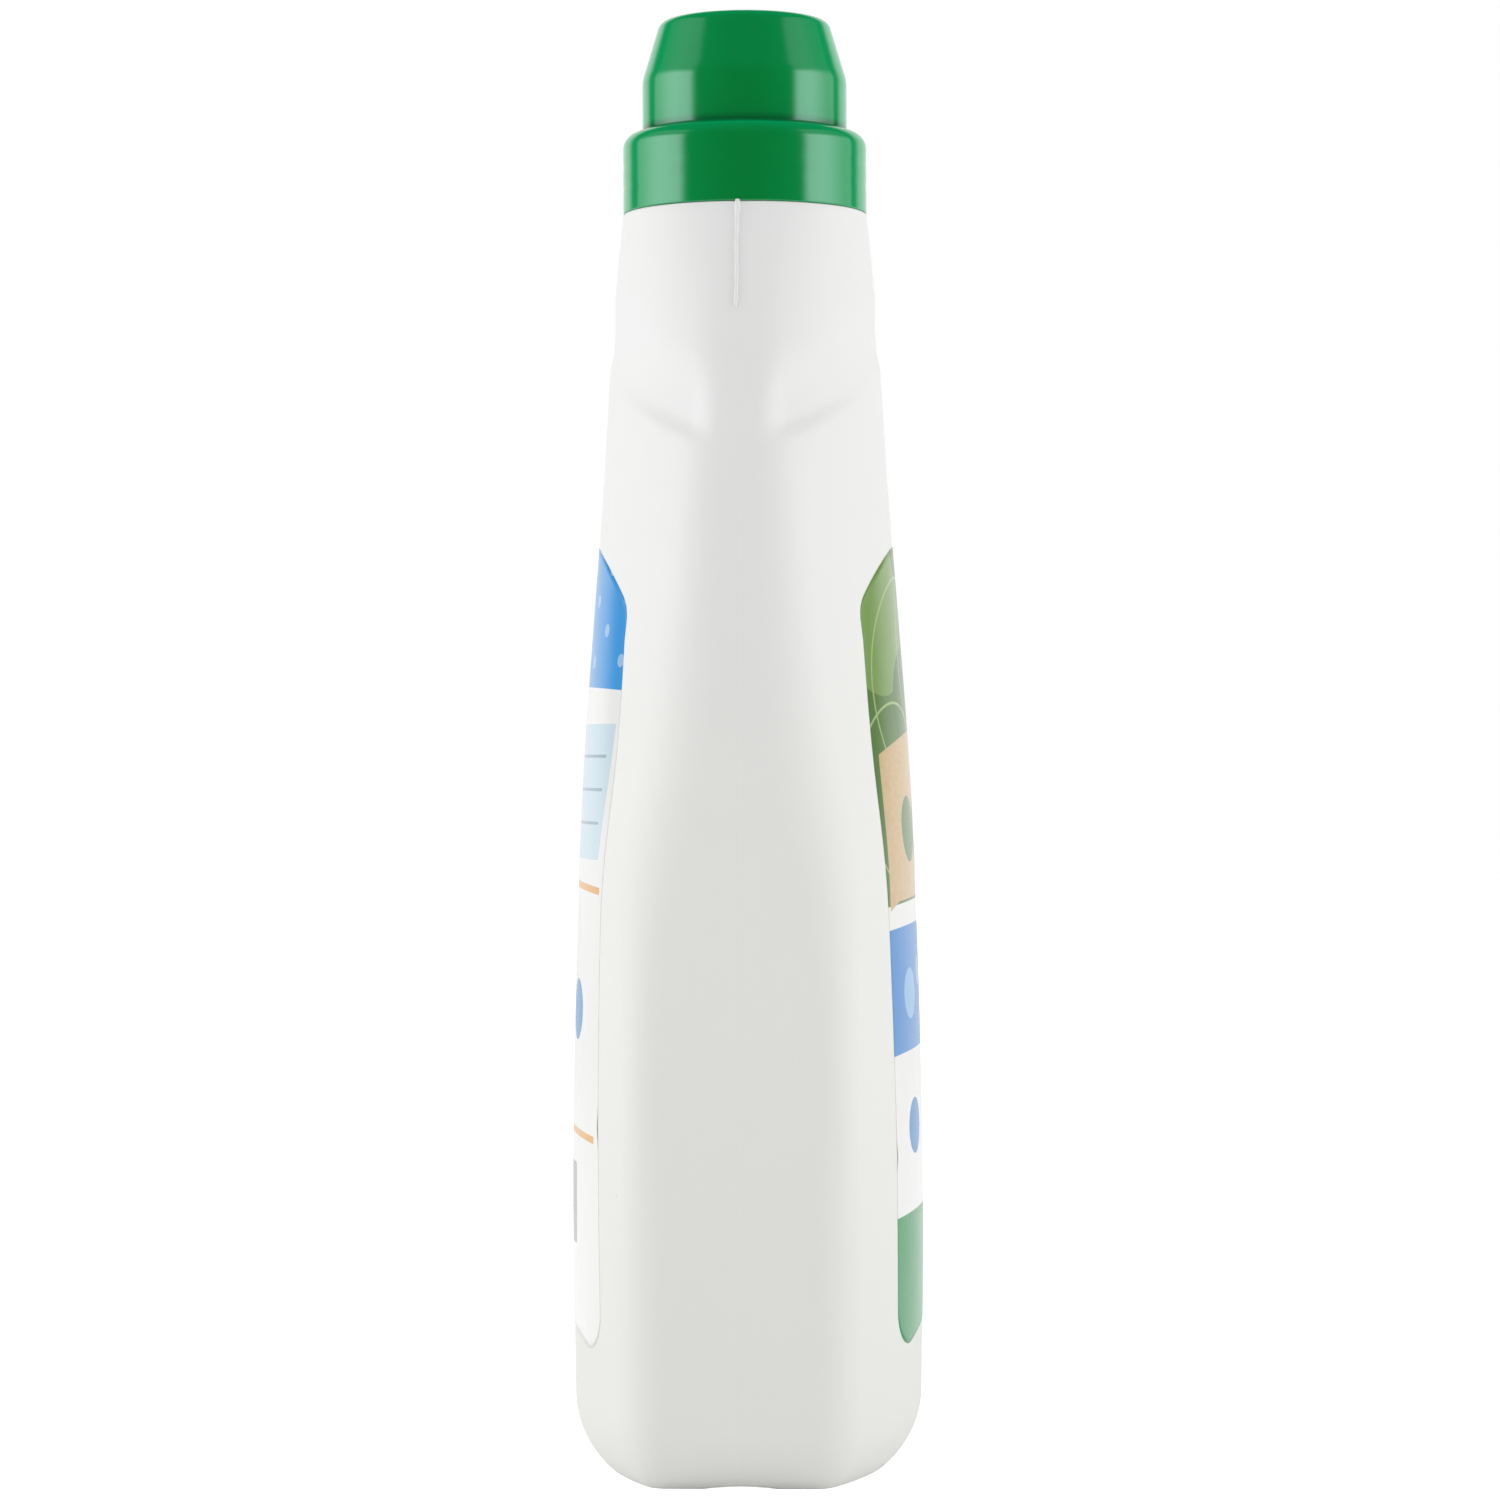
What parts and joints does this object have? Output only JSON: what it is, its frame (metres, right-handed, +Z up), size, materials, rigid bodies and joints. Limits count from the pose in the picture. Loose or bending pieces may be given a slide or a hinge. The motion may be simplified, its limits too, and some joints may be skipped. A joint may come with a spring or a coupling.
{
  "type": "laundry detergent bottle",
  "caption": "Flat oval plastic bottle with a tapered shoulder, a screwed dosing cap over a pouring insert, and a film label on each broad face.",
  "frame": {"origin": "middle of the base, on the surface that the bottle stands on", "axes": "+Z up through the cap, X across the broad faces, Y front to back with the front label facing -Y"},
  "size_m": [0.1, 0.0702, 0.2861],
  "materials": {
    "bottle_plastic": "satin",
    "insert_plastic": "satin",
    "cap_plastic": "gloss",
    "front_film": "satin",
    "back_film": "satin"
  },
  "bodies": {
    "bottle": {"bottle": "bottle_plastic", "pour_spout": "insert_plastic", "front_label": "front_film", "back_label": "back_film"},
    "cap": {"dosing_cap": "cap_plastic"}
  },
  "joints": [
    {"name": "cap_lift", "type": "slide", "parent": "bottle", "child": "cap", "axis": [0, 0, 1], "range_m": [0, 0.045]}
  ]
}
